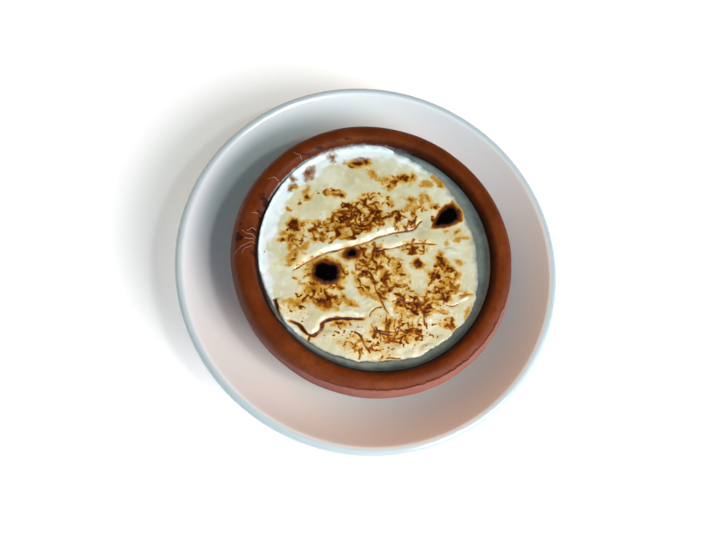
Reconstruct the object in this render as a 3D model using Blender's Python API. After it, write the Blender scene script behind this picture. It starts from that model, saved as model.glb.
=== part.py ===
"""Baked rice pudding in its clay bowl, standing on a white saucer.

Three solids, in metres, with +Z up and the origin on the table under the centre of the saucer:
saucer, clay_bowl and pudding. All three are turned or laid out in polar rings, and every place
comes from the sizes below.
"""

import math

import bmesh
import bpy
from mathutils import Vector

# ---------------------------------------------------------------- driving sizes

FIT_GAP = 0.0003  # air between two pieces that rest on or in each other

SAUCER_RADIUS = 0.0875
SAUCER_HEIGHT = 0.033
SAUCER_LIP_RADIUS = 0.0024  # the lip is a round bead this thick on each side
SAUCER_WALL_SLOPE = math.radians(50)  # how steeply the wall meets the lip
SAUCER_FLOOR_RADIUS = 0.040  # the flat that the bowl stands on
SAUCER_FLOOR_HEIGHT = 0.0075
SAUCER_FOOT_RADIUS = 0.046
SAUCER_FOOT_WIDTH = 0.0035
SAUCER_FOOT_HEIGHT = 0.003

BOWL_BASE = SAUCER_FLOOR_HEIGHT + FIT_GAP
BOWL_TOP = 0.0506
BOWL_HEIGHT = BOWL_TOP - BOWL_BASE
BOWL_BELLY_RADIUS = 0.0622
BOWL_THROAT_RADIUS = 0.0517  # inside, at the level of the pudding
BOWL_FOOT_RADIUS = 0.038
BOWL_FLOOR_HEIGHT = BOWL_BASE + 0.0068
BOWL_CENTRE = Vector((0.0006, -0.0015))  # it stands a little off the middle of the saucer
BOWL_OVAL = 0.008  # a hand-thrown bowl: longer by this share along OVAL_ANGLE, shorter across it
OVAL_ANGLE = math.radians(-11.5)

PUDDING_LEVEL = 0.0453  # the milk film at the wall
SKIN_LIFT = 0.0007  # the baked skin lies this much above the milk film
SKIN_DOME = 0.0003  # and swells this much more in the middle
FILM_WIDTH = 0.0045  # the film that shows where the skin has shrunk from the wall
FILM_ANGLE = math.radians(-20)  # the side where it shows most

TURNED_SEGMENTS = 60
PUDDING_RINGS = 20  # ring k of its top has six times k corners, so that all its triangles are alike

# The folds of the skin, as (length along X, length along Y) in metres from the origin. The skin to the
# left of a fold, going along it, stands up by the fold's lift and drops off at the fold.
LONG_FOLD = [(-0.0295, -0.025), (-0.0215, -0.0125), (-0.005, 0.002), (0.010, 0.0152), (0.0148, 0.0222)]
SHORT_FOLD = [(0.003, 0.0025), (0.012, 0.0095), (0.025, 0.0152)]
FRONT_FOLD = [(-0.025, -0.0443), (-0.0115, -0.046), (-0.0076, -0.0405), (0.001, -0.033), (0.009, -0.030)]
FOLDS = [(LONG_FOLD, 0.0012), (SHORT_FOLD, 0.0008), (FRONT_FOLD, 0.0011)]
FOLD_REACH = 0.0060  # how far back from a fold the raised skin runs out
FOLD_DROP = 0.0026  # how far in front of a fold it comes down

WHITE_GLAZE = (0.80, 0.80, 0.78)
FIRED_CLAY = (0.27, 0.085, 0.04)
BAKED_MILK = (0.76, 0.68, 0.48)

# ---------------------------------------------------------------- helpers


def clear_scene():
    for obj in list(bpy.data.objects):
        bpy.data.objects.remove(obj, do_unlink=True)


def finish_of(name, colour, roughness):
    """A plain Principled BSDF."""
    material = bpy.data.materials.new(name)
    material.use_nodes = True
    shader = material.node_tree.nodes["Principled BSDF"]
    shader.inputs["Base Color"].default_value = (*colour, 1.0)
    shader.inputs["Roughness"].default_value = roughness
    shader.inputs["Metallic"].default_value = 0.0
    return material


def smooth(share):
    """0 to 1 with level ends."""
    share = min(1.0, max(0.0, share))
    return share * share * (3 - 2 * share)


def arc(centre, radius, start, end, steps):
    """Points on an arc round centre, angles in radians."""
    found = []
    for i in range(steps + 1):
        angle = start + (end - start) * i / steps
        found.append((centre[0] + radius * math.cos(angle), centre[1] + radius * math.sin(angle)))
    return found


def flared(inner, outer, end_slope, steps):
    """A wall that leaves inner level and meets outer at end_slope, as a power curve."""
    run, rise = outer[0] - inner[0], outer[1] - inner[1]
    power = math.tan(end_slope) * run / rise
    shares = [i / steps for i in range(steps + 1)]
    return [(inner[0] + run * t, inner[1] + rise * t**power) for t in shares]


def curve_through(points, steps):
    """A smooth (Catmull-Rom) curve through points, with so many steps between two of them."""
    ends = [points[0], *points, points[-1]]
    found = []
    for i in range(len(points) - 1):
        a, b, c, d = (Vector(p) for p in ends[i : i + 4])
        for k in range(steps):
            t = k / steps
            found.append(
                tuple(0.5 * (2 * b + (c - a) * t + (2 * a - 5 * b + 4 * c - d) * t**2 + (3 * b - a - 3 * c + d) * t**3))
            )
    return [*found, tuple(points[-1])]


def oval(x, y):
    """The place of a point of the bowl, turned round the Z axis, in the bowl's own oval and off-centre place."""
    cos, sin = math.cos(OVAL_ANGLE), math.sin(OVAL_ANGLE)
    along = (x * cos + y * sin) * (1 + BOWL_OVAL)
    across = (y * cos - x * sin) * (1 - BOWL_OVAL)
    return along * cos - across * sin + BOWL_CENTRE.x, along * sin + across * cos + BOWL_CENTRE.y


def add_node(name, bm, material):
    bmesh.ops.recalc_face_normals(bm, faces=bm.faces)
    mesh = bpy.data.meshes.new(name)
    bm.to_mesh(mesh)
    bm.free()
    mesh.shade_smooth()
    mesh.set_sharp_from_angle(angle=math.radians(40))
    obj = bpy.data.objects.new(name, mesh)
    obj.data.materials.append(material)
    bpy.context.scene.collection.objects.link(obj)
    return obj


def turned(profile, segments):
    """A closed solid: profile, from the axis round to the axis, turned about Z."""
    bm = bmesh.new()
    corners = [bm.verts.new((r, 0, z)) for r, z in profile]
    edges = [bm.edges.new(pair) for pair in zip(corners, corners[1:])]
    bmesh.ops.spin(
        bm, geom=corners + edges, cent=(0, 0, 0), axis=(0, 0, 1), angle=2 * math.pi, steps=segments, use_merge=True
    )
    bmesh.ops.remove_doubles(bm, verts=bm.verts, dist=1e-6)
    return bm


# ---------------------------------------------------------------- the saucer


def saucer_profile():
    """From the middle of the underside, out over the foot ring and the lip, to the middle of the floor."""
    lip = (SAUCER_RADIUS - SAUCER_LIP_RADIUS, SAUCER_HEIGHT - SAUCER_LIP_RADIUS)
    under_lip = SAUCER_WALL_SLOPE - math.pi / 2
    over_lip = SAUCER_WALL_SLOPE + math.pi / 2
    bead = arc(lip, SAUCER_LIP_RADIUS, under_lip, over_lip, 6)
    foot_inside = SAUCER_FOOT_RADIUS - SAUCER_FOOT_WIDTH
    foot = [
        (0, SAUCER_FOOT_HEIGHT),
        (foot_inside - 0.001, SAUCER_FOOT_HEIGHT),
        (foot_inside, 0),
        (SAUCER_FOOT_RADIUS, 0),
    ]
    outside = flared((SAUCER_FOOT_RADIUS + 0.001, SAUCER_FOOT_HEIGHT), bead[0], SAUCER_WALL_SLOPE, 6)
    inside = flared((SAUCER_FLOOR_RADIUS, SAUCER_FLOOR_HEIGHT), bead[-1], SAUCER_WALL_SLOPE, 8)
    return foot + outside + bead[1:-1] + inside[::-1] + [(0, SAUCER_FLOOR_HEIGHT)]


def make_saucer():
    return add_node("saucer", turned(saucer_profile(), TURNED_SEGMENTS), finish_of("white_glaze", WHITE_GLAZE, 0.15))


# ---------------------------------------------------------------- the clay bowl


def bowl_inside():
    """The inner wall and floor, from the level of the pudding down to the axis."""
    side = [
        (BOWL_THROAT_RADIUS, PUDDING_LEVEL),
        (BOWL_THROAT_RADIUS - 0.0008, BOWL_BASE + BOWL_HEIGHT * 0.66),
        (BOWL_THROAT_RADIUS - 0.0040, BOWL_BASE + BOWL_HEIGHT * 0.40),
        (BOWL_THROAT_RADIUS - 0.0105, BOWL_BASE + BOWL_HEIGHT * 0.22),
        (BOWL_THROAT_RADIUS - 0.0220, BOWL_FLOOR_HEIGHT),
    ]
    return curve_through(side, 2) + [(0, BOWL_FLOOR_HEIGHT)]


def bowl_profile():
    """From the middle of the base, out over the foot, belly and broad round lip, to the middle of the floor."""
    outside = [
        (BOWL_FOOT_RADIUS, BOWL_BASE),
        (BOWL_FOOT_RADIUS + 0.0080, BOWL_BASE + BOWL_HEIGHT * 0.10),
        (BOWL_BELLY_RADIUS - 0.0050, BOWL_BASE + BOWL_HEIGHT * 0.37),
        (BOWL_BELLY_RADIUS, BOWL_BASE + BOWL_HEIGHT * 0.70),
        (BOWL_BELLY_RADIUS - 0.0008, BOWL_TOP - 0.0046),
        (BOWL_BELLY_RADIUS - 0.0026, BOWL_TOP - 0.0011),
        (BOWL_BELLY_RADIUS - 0.0060, BOWL_TOP),
        (BOWL_THROAT_RADIUS + 0.0019, BOWL_TOP - 0.0011),
        (BOWL_THROAT_RADIUS, PUDDING_LEVEL),
    ]
    return [(0, BOWL_BASE)] + curve_through(outside, 2)[:-1] + bowl_inside()


def make_bowl():
    bm = turned(bowl_profile(), TURNED_SEGMENTS)
    for corner in bm.verts:
        corner.co.x, corner.co.y = oval(corner.co.x, corner.co.y)
    return add_node("clay_bowl", bm, finish_of("fired_clay", FIRED_CLAY, 0.45))


# ---------------------------------------------------------------- the pudding


def fold_height(x, y, path, lift):
    """How much a fold raises the skin at (x, y): most at its line, with a long back and a short front."""
    here = Vector((x, y))
    nearest = None
    for i in range(len(path) - 1):
        start, run = Vector(path[i]), Vector(path[i + 1]) - Vector(path[i])
        share = min(1.0, max(0.0, (here - start).dot(run) / run.length_squared))
        offset = here - start - run * share
        if nearest is None or offset.length < nearest[0]:
            at_back = run.x * offset.y - run.y * offset.x > 0
            nearest = (offset.length, at_back, (i + share) / (len(path) - 1))
    distance, at_back, whole = nearest
    reach = FOLD_REACH if at_back else FOLD_DROP
    return lift * smooth(whole * 4) * smooth((1 - whole) * 4) * smooth(1 - distance / reach)


def film_width(angle):
    """How much milk film shows between the skin and the wall, in that direction."""
    facing = max(0.0, math.cos((angle - FILM_ANGLE) / 1.25))
    return 0.0006 + FILM_WIDTH * facing * (0.75 + 0.25 * math.cos(4 * angle + 1.0))


def skin_height(x, y):
    """The top of the pudding at a point of the bowl, still round and centred."""
    radius, angle = math.hypot(x, y), math.atan2(y, x)
    edge = BOWL_THROAT_RADIUS - FIT_GAP - film_width(angle)
    on_skin = 1 - smooth((radius - edge + 0.0006) / 0.0012)
    place = oval(x, y)
    folds = sum(fold_height(*place, path, lift) for path, lift in FOLDS)
    dome = SKIN_DOME * (1 - (radius / BOWL_THROAT_RADIUS) ** 2)
    return PUDDING_LEVEL + on_skin * (SKIN_LIFT + dome + folds)


def ring(bm, radius, corners, height_at):
    """One ring of corners round the bowl."""
    made = []
    for i in range(corners):
        angle = 2 * math.pi * i / corners
        x, y = radius * math.cos(angle), radius * math.sin(angle)
        made.append(bm.verts.new((*oval(x, y), height_at(x, y))))
    return made


def fill_hexagonally(bm, inner, outer):
    """The triangles between a ring of six times k - 1 corners and one of six times k."""
    per_side = len(outer) // 6
    for side in range(6):
        for i in range(per_side):
            near = inner[(side * (per_side - 1) + i) % len(inner)]
            first = outer[side * per_side + i]
            second = outer[(side * per_side + i + 1) % len(outer)]
            bm.faces.new((near, first, second))
            if i < per_side - 1:
                beside = inner[(side * (per_side - 1) + i + 1) % len(inner)]
                bm.faces.new((near, second, beside))


def fill_evenly(bm, inner, outer):
    for i in range(len(inner)):
        k = (i + 1) % len(inner)
        bm.faces.new((inner[i], inner[k], outer[k], outer[i]))


def cap(bm, rim, height):
    middle = bm.verts.new((*oval(0, 0), height))
    for i in range(len(rim)):
        bm.faces.new((middle, rim[i], rim[(i + 1) % len(rim)]))


def make_pudding():
    """The folded top in rings, and below it the inside of the bowl less the gap."""
    bm = bmesh.new()
    top_radius = BOWL_THROAT_RADIUS - FIT_GAP
    tops = []
    for k in range(1, PUDDING_RINGS + 1):
        tops.append(ring(bm, top_radius * k / PUDDING_RINGS, 6 * k, skin_height))
    for inner, outer in zip(tops, tops[1:]):
        fill_hexagonally(bm, inner, outer)
    sides = [tops[-1]]
    for radius, height in bowl_inside()[2:-1:2]:
        level = height + FIT_GAP
        sides.append(ring(bm, radius - FIT_GAP, 6 * PUDDING_RINGS, lambda x, y, level=level: level))
    for upper, lower in zip(sides, sides[1:]):
        fill_evenly(bm, upper, lower)
    cap(bm, tops[0], skin_height(0, 0))
    cap(bm, sides[-1], BOWL_FLOOR_HEIGHT + FIT_GAP)
    return add_node("pudding", bm, finish_of("baked_milk", BAKED_MILK, 0.35))


def main():
    clear_scene()
    make_saucer()
    make_bowl()
    make_pudding()


main()
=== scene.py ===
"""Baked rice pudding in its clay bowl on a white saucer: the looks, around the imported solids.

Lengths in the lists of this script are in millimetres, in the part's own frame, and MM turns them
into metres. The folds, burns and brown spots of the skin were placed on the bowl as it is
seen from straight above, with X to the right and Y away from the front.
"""

import math

import bpy
import numpy as np
from mathutils import Matrix, Vector


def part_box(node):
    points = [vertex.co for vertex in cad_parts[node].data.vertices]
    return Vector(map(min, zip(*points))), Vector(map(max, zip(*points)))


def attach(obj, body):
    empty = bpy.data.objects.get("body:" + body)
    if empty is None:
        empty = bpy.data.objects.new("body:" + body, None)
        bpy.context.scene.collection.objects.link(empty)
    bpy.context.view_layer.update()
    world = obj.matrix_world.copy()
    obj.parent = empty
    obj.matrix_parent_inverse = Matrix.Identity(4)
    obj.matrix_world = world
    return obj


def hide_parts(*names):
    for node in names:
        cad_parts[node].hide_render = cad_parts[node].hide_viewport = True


MM = 0.001

# ---------------------------------------------------------------- sizes, as the solids have them

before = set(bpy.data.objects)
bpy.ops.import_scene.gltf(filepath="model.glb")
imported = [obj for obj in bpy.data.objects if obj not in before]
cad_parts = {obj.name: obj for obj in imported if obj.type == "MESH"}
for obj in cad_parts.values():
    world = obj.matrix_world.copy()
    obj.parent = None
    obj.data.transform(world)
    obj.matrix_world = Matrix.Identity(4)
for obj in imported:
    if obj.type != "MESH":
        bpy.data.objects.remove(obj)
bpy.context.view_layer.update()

_, SAUCER_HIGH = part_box("saucer")
BOWL_LOW, BOWL_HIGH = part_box("clay_bowl")
PUDDING_LOW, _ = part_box("pudding")

SAUCER_RADIUS = 87.5
SAUCER_HEIGHT = SAUCER_HIGH.z / MM
SAUCER_LIP_RADIUS = 2.4
SAUCER_LIP_SHADE_BAND = 4.2  # how wide the painted cool shade on the lip is
SAUCER_WALL_SLOPE = math.radians(50)
SAUCER_FLOOR = 7.5
SAUCER_FLOOR_RADIUS = 40.0
FOOT_RADIUS = 46.0
FOOT_WIDTH = 3.5
FOOT_HEIGHT = 3.0

BOWL_BASE = BOWL_LOW.z / MM
BOWL_TOP = BOWL_HIGH.z / MM
BOWL_HEIGHT = BOWL_TOP - BOWL_BASE
BELLY_RADIUS = 62.2
THROAT_RADIUS = 51.7
BOWL_CENTRE = Vector(((BOWL_LOW.x + BOWL_HIGH.x) / 2, (BOWL_LOW.y + BOWL_HIGH.y) / 2)) / MM
BOWL_OVAL = 0.008
OVAL_ANGLE = math.radians(-11.5)

FILM_LEVEL = 45.3  # the milk film between the skin and the wall
PUDDING_FLOOR = PUDDING_LOW.z / MM
MENISCUS = 0.7  # how far the film climbs the wall

SKIN_CELLS = 326  # across the skin's grid
SKIN_OVERLAP = 1.1  # how far the skin's grid reaches into the wall
SKIN_SKIRT = 2.5  # how far the skin's cut edge is drawn down

# ---------------------------------------------------------------- the camera, the light and the floor

CAMERA_PLACE = Vector((-0.0027, -0.1388, 0.4265))
CAMERA_TILT = math.radians(18.6)
CAMERA_ROLL = math.radians(23.5)
LENS = 46.05

# Lamps: (name, direction, height and softness in degrees, strength in red, green and blue).
LAMPS = [
    ("sun_glint", -10, 62, 6, (0.45, 0.50, 0.48)),
    ("window", -20, 40, 30, (2.14, 2.16, 2.14)),
    ("window_side", 0, 30, 40, (0.91, 0.86, 0.91)),
    ("cool_fill", -45, 30, 40, (0.14, 0.18, 0.46)),
    ("front_fill", -90, 60, 40, (0.02, 0.40, 0.50)),
    ("warm_bounce", 172, 48, 50, (0.90, 0.45, 0.20)),
]

# A warm card above the near right side of the saucer.
CARD_PLACE = Vector((0.058, -0.088, 0.130))
CARD_TARGET = Vector((0.042, -0.060, 0.018))
CARD_SIZE = 0.10
CARD_POWER = 0.050
CARD_COLOUR = (1.0, 0.56, 0.36)

ROOM_COLOUR = (0.90, 0.95, 1.0, 1)
ROOM_STRENGTH = 0.055
FLOOR_SIZE = 12


def make_camera():
    data = bpy.data.cameras.new("camera")
    data.lens = LENS
    data.sensor_width = 36
    data.clip_start = 0.01
    camera = bpy.data.objects.new("camera", data)
    bpy.context.scene.collection.objects.link(camera)
    turn = Matrix.Rotation(CAMERA_TILT, 4, "X") @ Matrix.Rotation(CAMERA_ROLL, 4, "Z")
    camera.matrix_world = Matrix.Translation(CAMERA_PLACE) @ turn
    bpy.context.scene.camera = camera


def make_light():
    """A broad window on the right, weak fills from the front and left, and the warm card."""
    for name, heading, height, softness, strength in LAMPS:
        data = bpy.data.lights.new(name, "SUN")
        data.energy = max(strength)
        data.angle = math.radians(softness)
        data.color = [part / max(strength) for part in strength]
        lamp = bpy.data.objects.new(name, data)
        bpy.context.scene.collection.objects.link(lamp)
        heading, height = math.radians(heading), math.radians(height)
        cos, sin = math.cos(height), math.sin(height)
        towards = Vector((cos * math.cos(heading), cos * math.sin(heading), sin))
        lamp.rotation_euler = towards.to_track_quat("Z", "Y").to_euler()
    card = bpy.data.lights.new("warm_card", "AREA")
    card.shape = "DISK"
    card.size = CARD_SIZE
    card.energy = CARD_POWER
    card.color = CARD_COLOUR
    lamp = bpy.data.objects.new("warm_card", card)
    bpy.context.scene.collection.objects.link(lamp)
    lamp.location = CARD_PLACE
    lamp.rotation_euler = (CARD_PLACE - CARD_TARGET).to_track_quat("Z", "Y").to_euler()
    lamp.visible_camera = False
    lamp.visible_glossy = False
    world = bpy.data.worlds.new("room")
    world.use_nodes = True
    background = world.node_tree.nodes["Background"]
    background.inputs["Color"].default_value = ROOM_COLOUR
    background.inputs["Strength"].default_value = ROOM_STRENGTH
    bpy.context.scene.world = world
    bpy.context.scene.view_settings.view_transform = "Standard"


def staged(name, roughness, shade, glow):
    """Names the mesh just added and gives it a plain pale surface."""
    piece = bpy.context.object
    piece.name = name
    surface = Surface("pale_" + name, roughness=roughness)
    surface.set("Base Color", (shade, shade, shade, 1))
    surface.set("Emission Color", (1, 1, 1, 1))
    surface.set("Emission Strength", glow)
    piece.data.materials.append(surface.material)
    return piece


def make_floor():
    """A pale floor, and a pale backdrop far behind it that only shows and lights nothing."""
    bpy.ops.mesh.primitive_plane_add(size=FLOOR_SIZE)
    staged("floor", roughness=0.7, shade=0.93, glow=0.2)
    bpy.ops.mesh.primitive_uv_sphere_add(segments=48, ring_count=24, radius=FLOOR_SIZE / 2)
    backdrop = staged("backdrop", roughness=1.0, shade=0, glow=0.95)
    for kind in ("diffuse", "glossy", "transmission", "volume_scatter", "shadow"):
        setattr(backdrop, "visible_" + kind, False)


# ---------------------------------------------------------------- smooth numbers


def ease(share):
    """0 to 1 with level ends, for arrays."""
    share = np.clip(share, 0, 1)
    return share * share * (3 - 2 * share)


def ripples(x, y, size, seed):
    """Smooth noise from about -1 to 1, with bumps of that size in millimetres."""
    lattice = np.random.default_rng(seed).random((256, 256)) * 2 * np.pi
    u, v = np.asarray(x) / size + 100, np.asarray(y) / size + 100
    i, j = np.floor(u).astype(int), np.floor(v).astype(int)
    fu, fv = u - i, v - j

    def corner(di, dj):
        angle = lattice[(i + di) % 256, (j + dj) % 256]
        return np.cos(angle) * (fu - di) + np.sin(angle) * (fv - dj)

    su, sv = (f**3 * (f * (f * 6 - 15) + 10) for f in (fu, fv))
    low = corner(0, 0) * (1 - su) + corner(1, 0) * su
    high = corner(0, 1) * (1 - su) + corner(1, 1) * su
    return (low * (1 - sv) + high * sv) * 1.5


def layered_ripples(x, y, size, seed, layers=3):
    """Ripples with finer ones on top, each half as large and half as strong."""
    return sum(ripples(x, y, size / 2**k, seed + k) / 2**k for k in range(layers))


def curve_through(points, steps):
    """A smooth curve through points, with so many steps between two of them."""
    ends = [points[0], *points, points[-1]]
    found = []
    for i in range(len(points) - 1):
        a, b, c, d = (np.array(p, float) for p in ends[i : i + 4])
        for t in np.arange(steps) / steps:
            found.append(0.5 * (2 * b + (c - a) * t + (2 * a - 5 * b + 4 * c - d) * t**2
                                + (3 * b - a - 3 * c + d) * t**3))
    return [tuple(p) for p in found] + [tuple(points[-1])]


def arc(centre, radius, start, end, steps):
    angles = start + (end - start) * np.arange(steps + 1) / steps
    return [(centre[0] + radius * math.cos(a), centre[1] + radius * math.sin(a)) for a in angles]


def flared(inner, outer, end_slope, steps):
    """A wall that leaves inner level and meets outer at end_slope."""
    run, rise = outer[0] - inner[0], outer[1] - inner[1]
    power = math.tan(end_slope) * run / rise
    return [(inner[0] + run * t, inner[1] + rise * t**power) for t in np.arange(steps + 1) / steps]


# ---------------------------------------------------------------- materials


class Surface:
    """A material with one Principled shader, and short ways to add and join nodes."""

    def __init__(self, name, roughness=0.5, **sockets):
        self.material = bpy.data.materials.new(name)
        self.material.use_nodes = True
        self.tree = self.material.node_tree
        self.shader = self.tree.nodes["Principled BSDF"]
        self.set("Roughness", roughness)
        for socket, value in sockets.items():
            self.set(socket.replace("_", " "), value)

    def set(self, socket, value):
        self.put(self.shader.inputs[socket], value)

    def put(self, socket, value):
        if isinstance(value, bpy.types.NodeSocket):
            self.tree.links.new(value, socket)
        else:
            socket.default_value = value

    def add(self, kind, **settings):
        made = self.tree.nodes.new("ShaderNode" + kind)
        for key, value in settings.items():
            setattr(made, key, value)
        return made

    def attribute(self, name):
        return self.add("Attribute", attribute_name=name).outputs["Fac"]

    def place(self, stretch=(1, 1, 1)):
        """Object coordinates in millimetres, stretched."""
        mapping = self.add("Mapping")
        mapping.inputs["Scale"].default_value = [1 / MM / s for s in stretch]
        self.tree.links.new(self.add("TexCoord").outputs["Object"], mapping.inputs["Vector"])
        return mapping.outputs["Vector"]

    def noise(self, size, detail=3, stretch=(1, 1, 1), roughness=0.55, distortion=0.0):
        """Noise with bumps of that size in millimetres, 0 to 1."""
        made = self.add("TexNoise")
        self.put(made.inputs["Vector"], self.place(stretch))
        self.put(made.inputs["Scale"], 1 / size)
        self.put(made.inputs["Detail"], detail)
        self.put(made.inputs["Roughness"], roughness)
        self.put(made.inputs["Distortion"], distortion)
        return made.outputs["Fac"]

    def ranged(self, value, low, high, to_low=0.0, to_high=1.0):
        """Value from low..high to to_low..to_high, smoothly."""
        made = self.add("MapRange", interpolation_type="SMOOTHSTEP")
        self.put(made.inputs["Value"], value)
        ends = {"From Min": low, "From Max": high, "To Min": to_low, "To Max": to_high}
        for socket, number in ends.items():
            self.put(made.inputs[socket], number)
        return made.outputs["Result"]

    def product(self, a, b):
        made = self.add("Math", operation="MULTIPLY")
        self.put(made.inputs[0], a)
        self.put(made.inputs[1], b)
        return made.outputs[0]

    def blend(self, share, a, b):
        """A colour between a and b."""
        made = self.add("Mix", data_type="RGBA")
        self.put(made.inputs["Factor"], share)
        self.put(made.inputs[6], a)
        self.put(made.inputs[7], b)
        return made.outputs[2]

    def mixed(self, share, a, b):
        """A number between a and b."""
        made = self.add("Mix", data_type="FLOAT")
        for socket, value in zip(("Factor", "A", "B"), (share, a, b)):
            self.put(made.inputs[socket], value)
        return made.outputs["Result"]

    def ramp(self, value, *stops):
        """A colour read from (position, colour) stops."""
        made = self.add("ValToRGB")
        elements = made.color_ramp.elements
        while len(elements) < len(stops):
            elements.new(0.5)
        for element, (position, colour) in zip(elements, stops):
            element.position = position
            element.color = (*colour, 1)
        self.put(made.inputs["Fac"], value)
        return made.outputs["Color"]

    def relief(self, height, depth, onto=None):
        """A bump that is depth millimetres from a height of 0 to one of 1, added to an earlier one."""
        made = self.add("Bump")
        self.put(made.inputs["Height"], height)
        self.put(made.inputs["Distance"], depth * MM)
        if onto is not None:
            self.put(made.inputs["Normal"], onto)
        return made.outputs["Normal"]


def porcelain():
    """White glaze, a little uneven, with painted cool shade on the lip, and rare specks."""
    glaze = Surface("porcelain_glaze", Coat_Weight=0.5, Coat_Roughness=0.05)
    cloudy = glaze.noise(30, detail=2)
    white = glaze.blend(cloudy, (0.825, 0.835, 0.830, 1), (0.85, 0.85, 0.840, 1))
    # Painted cool shade: the lip's glaze is a darker blue-grey all round.
    white = glaze.blend(glaze.attribute("lip"), white, (0.480, 0.590, 0.630, 1))
    speck = glaze.ranged(glaze.noise(1.6, detail=1), 0.80, 0.84)
    glaze.set("Base Color", glaze.blend(speck, white, (0.62, 0.60, 0.55, 1)))
    glaze.set("Roughness", glaze.ranged(glaze.noise(14), 0.3, 0.7, 0.16, 0.26))
    glaze.set("Normal", glaze.relief(glaze.noise(5, detail=2), 0.03))
    return glaze.material


def fired_clay():
    """Brown glaze over the lip and inside, its ragged edge, and the raw pink clay below it."""
    clay = Surface("glazed_and_raw_clay", Specular_IOR_Level=0.13)
    glazed = clay.attribute("glazed")
    brown = clay.ramp(
        clay.noise(14, detail=4),
        (0.30, (0.090, 0.016, 0.0010)),
        (0.50, (0.130, 0.024, 0.0018)),
        (0.70, (0.172, 0.038, 0.0045)),
    )
    mottled = clay.ranged(clay.noise(2.2, detail=5), 0.38, 0.72, 0.0, 0.5)
    brown = clay.blend(mottled, brown, (0.085, 0.016, 0.003, 1))
    scorched = clay.ranged(clay.noise(6, detail=6, roughness=0.7), 0.58, 0.74, 0.0, 0.75)
    brown = clay.blend(scorched, brown, (0.040, 0.008, 0.003, 1))
    brown = clay.blend(clay.attribute("thin_glaze"), brown, (0.250, 0.075, 0.036, 1))
    # Near black inside the lip: baked-on milk, and painted shade down the inner wall.
    brown = clay.blend(clay.attribute("baked_on_and_shade"), brown, (0.012, 0.004, 0.003, 1))
    # A bluish-white band on the inner wall, just above the skin.
    brown = clay.blend(clay.attribute("bluish_white_band"), brown, (0.640, 0.700, 0.740, 1))
    brown = clay.blend(clay.attribute("splashed"), brown, (0.018, 0.002, 0.003, 1))
    raw = clay.ramp(
        clay.noise(6, detail=5, stretch=(1, 1, 0.3)),
        (0.3, (0.270, 0.100, 0.074)),
        (0.7, (0.350, 0.140, 0.104)),
    )
    grit = clay.ranged(clay.noise(0.7, detail=2), 0.62, 0.72, 0.0, 0.5)
    raw = clay.blend(grit, raw, (0.22, 0.075, 0.05, 1))
    colour = clay.blend(glazed, raw, brown)
    clay.set("Base Color", clay.blend(clay.attribute("glaze_edge"), colour, (0.030, 0.006, 0.003, 1)))
    glaze_roughness = clay.ranged(clay.noise(7, detail=4), 0.35, 0.7, 0.44, 0.60)
    clay.set("Roughness", clay.mixed(glazed, 0.85, glaze_roughness))
    pits = clay.relief(clay.noise(0.9, detail=4), 0.10)
    clay.set("Normal", clay.relief(clay.noise(6, detail=3), 0.22, pits))
    return clay.material


def dried_milk():
    """Thin threads of milk that ran over the lip and dried."""
    threads = Surface("dried_milk", roughness=0.4)
    pale = threads.blend(threads.noise(1.5), (0.30, 0.12, 0.09, 1), (0.58, 0.36, 0.30, 1))
    threads.set("Base Color", pale)
    return threads.material


def milk():
    """The milk film round the skin, thin and wet, a dark blue-grey that is paler beside the skin, and
    scorched where it caught on the wall.
    """
    film = Surface("milk_film", roughness=0.22, Specular_IOR_Level=0.35)
    cloudy = film.noise(7, detail=4)
    deep = film.ramp(cloudy, (0.3, (0.050, 0.072, 0.078)), (0.7, (0.088, 0.118, 0.125)))
    paler_film = film.ramp(cloudy, (0.3, (0.150, 0.185, 0.155)), (0.7, (0.260, 0.300, 0.260)))
    deep = film.blend(film.attribute("scorched"), deep, (0.026, 0.008, 0.010, 1))
    film.set("Base Color", film.blend(film.attribute("paler_film"), deep, paler_film))
    film.set("Normal", film.relief(film.noise(2.5, detail=4), 0.08))
    return film.material


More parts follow.
